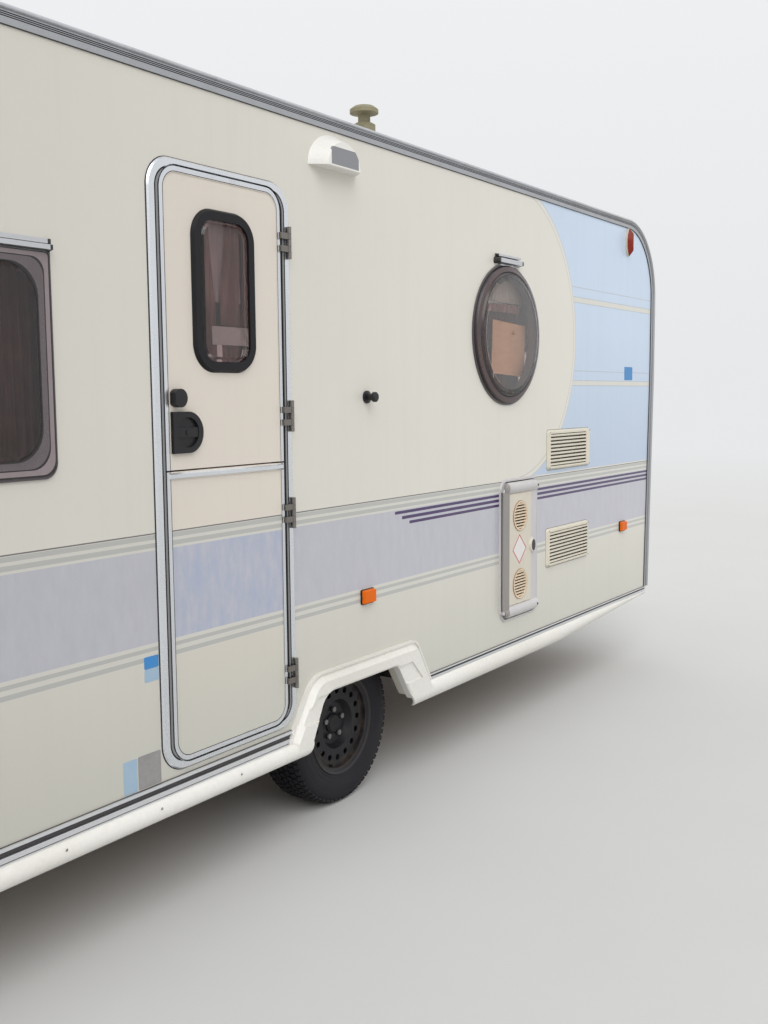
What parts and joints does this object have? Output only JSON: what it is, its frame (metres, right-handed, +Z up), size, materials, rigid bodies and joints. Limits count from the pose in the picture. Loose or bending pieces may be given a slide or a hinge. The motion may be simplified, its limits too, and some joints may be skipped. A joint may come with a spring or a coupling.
{
  "type": "travel caravan",
  "caption": "Touring caravan with a hollow cabin, split entrance door, gas locker, tinted windows, braked axle, drawbar with coupling, jockey wheel and corner steadies.",
  "frame": {"origin": "on the ground under the middle of the whole caravan", "axes": "+X forward to the coupling, +Y left, +Z up"},
  "size_m": [7.028, 2.394, 2.723],
  "materials": {
    "cream_panel": "smooth cream coated sheet with blue and lilac bands",
    "white_moulding": "white moulded plastic",
    "grey_rail": "satin grey aluminium extrusion",
    "galvanised": "galvanised steel",
    "black_steel": "black painted steel",
    "tinted_acrylic": "brown tinted acrylic",
    "window_trim": "grey brown frame",
    "black_rubber": "black rubber",
    "tyre_rubber": "tyre rubber",
    "cream_plastic": "aged cream plastic",
    "lamp_lens": "coloured lamp lens",
    "grey_plastic": "grey plastic",
    "black_plastic": "black plastic",
    "light_wood": "light wood veneer",
    "plywood": "sealed plywood underside",
    "seat_cloth": "blue grey upholstery",
    "bright_steel": "zinc plated steel",
    "smoke_dome": "translucent white dome"
  },
  "bodies": {
    "cabin": {"arch_mouldings": "white_moulding", "awning_light": "cream_plastic", "axle_tube": "galvanised", "cabinets": "light_wood", "chassis_rail_left": "galvanised", "chassis_rail_right": "galvanised", "coupling": "galvanised", "cross_members": "galvanised", "cushions": "seat_cloth", "door_catch": "black_plastic", "door_frame": "grey_rail", "drawbar_left": "galvanised", "drawbar_right": "galvanised", "edge_rails": "grey_rail", "floor": "plywood", "flue_cowl": "cream_plastic", "fridge_vents": "cream_plastic", "grab_handles": "white_moulding", "handbrake": "black_plastic", "jockey_tube": "bright_steel", "locker_box": "light_wood", "locker_frame": "grey_rail", "marker_lamps": "lamp_lens", "porthole_frame": "window_trim", "porthole_pane": "tinted_acrylic", "rear_bumper": "white_moulding", "rear_lamps": "lamp_lens", "roof": "cream_panel", "roof_lights": "smoke_dome", "sill_strips": "grey_rail", "skirts": "white_moulding", "steady_brackets": "galvanised", "trailing_arms": "galvanised", "wall_front": "cream_panel", "wall_left": "cream_panel", "wall_rear": "cream_panel", "wall_right": "cream_panel", "wheel_boxes": "black_plastic", "window_frames": "window_trim", "window_panes": "tinted_acrylic"},
    "wheel_right": {"tyre_right": "tyre_rubber", "rim_right": "black_steel", "drum_right": "bright_steel"},
    "wheel_left": {"tyre_left": "tyre_rubber", "rim_left": "black_steel", "drum_left": "bright_steel"},
    "upper_leaf": {"door_upper": "cream_panel", "door_rubber": "black_rubber", "door_pane": "tinted_acrylic", "door_handle": "black_plastic"},
    "lower_leaf": {"door_lower": "cream_panel"},
    "gas_lid": {"locker_lid": "cream_panel"},
    "jockey_leg": {"jockey_post": "bright_steel"},
    "jockey_castor": {"jockey_fork": "bright_steel"},
    "jockey_roller": {"jockey_wheel": "black_rubber"},
    "leg_front_right": {"steady_front_right": "galvanised"},
    "leg_front_left": {"steady_front_left": "galvanised"},
    "leg_rear_right": {"steady_rear_right": "galvanised"},
    "leg_rear_left": {"steady_rear_left": "galvanised"}
  },
  "joints": [
    {"name": "wheel_right_spin", "type": "hinge", "parent": "cabin", "child": "wheel_right", "pos_m": [-0.785, -0.945, 0.31], "axis": [0, 1, 0], "continuous": true},
    {"name": "wheel_left_spin", "type": "hinge", "parent": "cabin", "child": "wheel_left", "pos_m": [-0.785, 0.945, 0.31], "axis": [0, 1, 0], "continuous": true},
    {"name": "door_upper_swing", "type": "hinge", "parent": "cabin", "child": "upper_leaf", "pos_m": [-1.243, -1.167, 1.83], "axis": [0, 0, 1], "range_deg": [0, 170]},
    {"name": "door_lower_swing", "type": "hinge", "parent": "cabin", "child": "lower_leaf", "pos_m": [-1.243, -1.167, 0.92], "axis": [0, 0, 1], "range_deg": [0, 170]},
    {"name": "gas_lid_swing", "type": "hinge", "parent": "cabin", "child": "gas_lid", "pos_m": [0.299, -1.17, 0.87], "axis": [0, 0, -1], "range_deg": [0, 115]},
    {"name": "jockey_raise", "type": "slide", "parent": "cabin", "child": "jockey_leg", "axis": [0, 0, 1], "range_m": [0, 0.085]},
    {"name": "jockey_swivel", "type": "hinge", "parent": "jockey_leg", "child": "jockey_castor", "pos_m": [2.915, -0.14484, 0.22], "axis": [0, 0, 1], "continuous": true},
    {"name": "jockey_spin", "type": "hinge", "parent": "jockey_castor", "child": "jockey_roller", "pos_m": [2.883, -0.14484, 0.1], "axis": [0, 1, 0], "continuous": true},
    {"name": "steady_front_right_drop", "type": "hinge", "parent": "cabin", "child": "leg_front_right", "pos_m": [1.175, -0.8, 0.373], "axis": [0, 1, 0], "range_deg": [0, 45]},
    {"name": "steady_front_left_drop", "type": "hinge", "parent": "cabin", "child": "leg_front_left", "pos_m": [1.175, 0.8, 0.373], "axis": [0, 1, 0], "range_deg": [0, 45]},
    {"name": "steady_rear_right_drop", "type": "hinge", "parent": "cabin", "child": "leg_rear_right", "pos_m": [-2.715, -0.8, 0.373], "axis": [0, -1, 0], "range_deg": [0, 45]},
    {"name": "steady_rear_left_drop", "type": "hinge", "parent": "cabin", "child": "leg_rear_left", "pos_m": [-2.715, 0.8, 0.373], "axis": [0, -1, 0], "range_deg": [0, 45]}
  ]
}
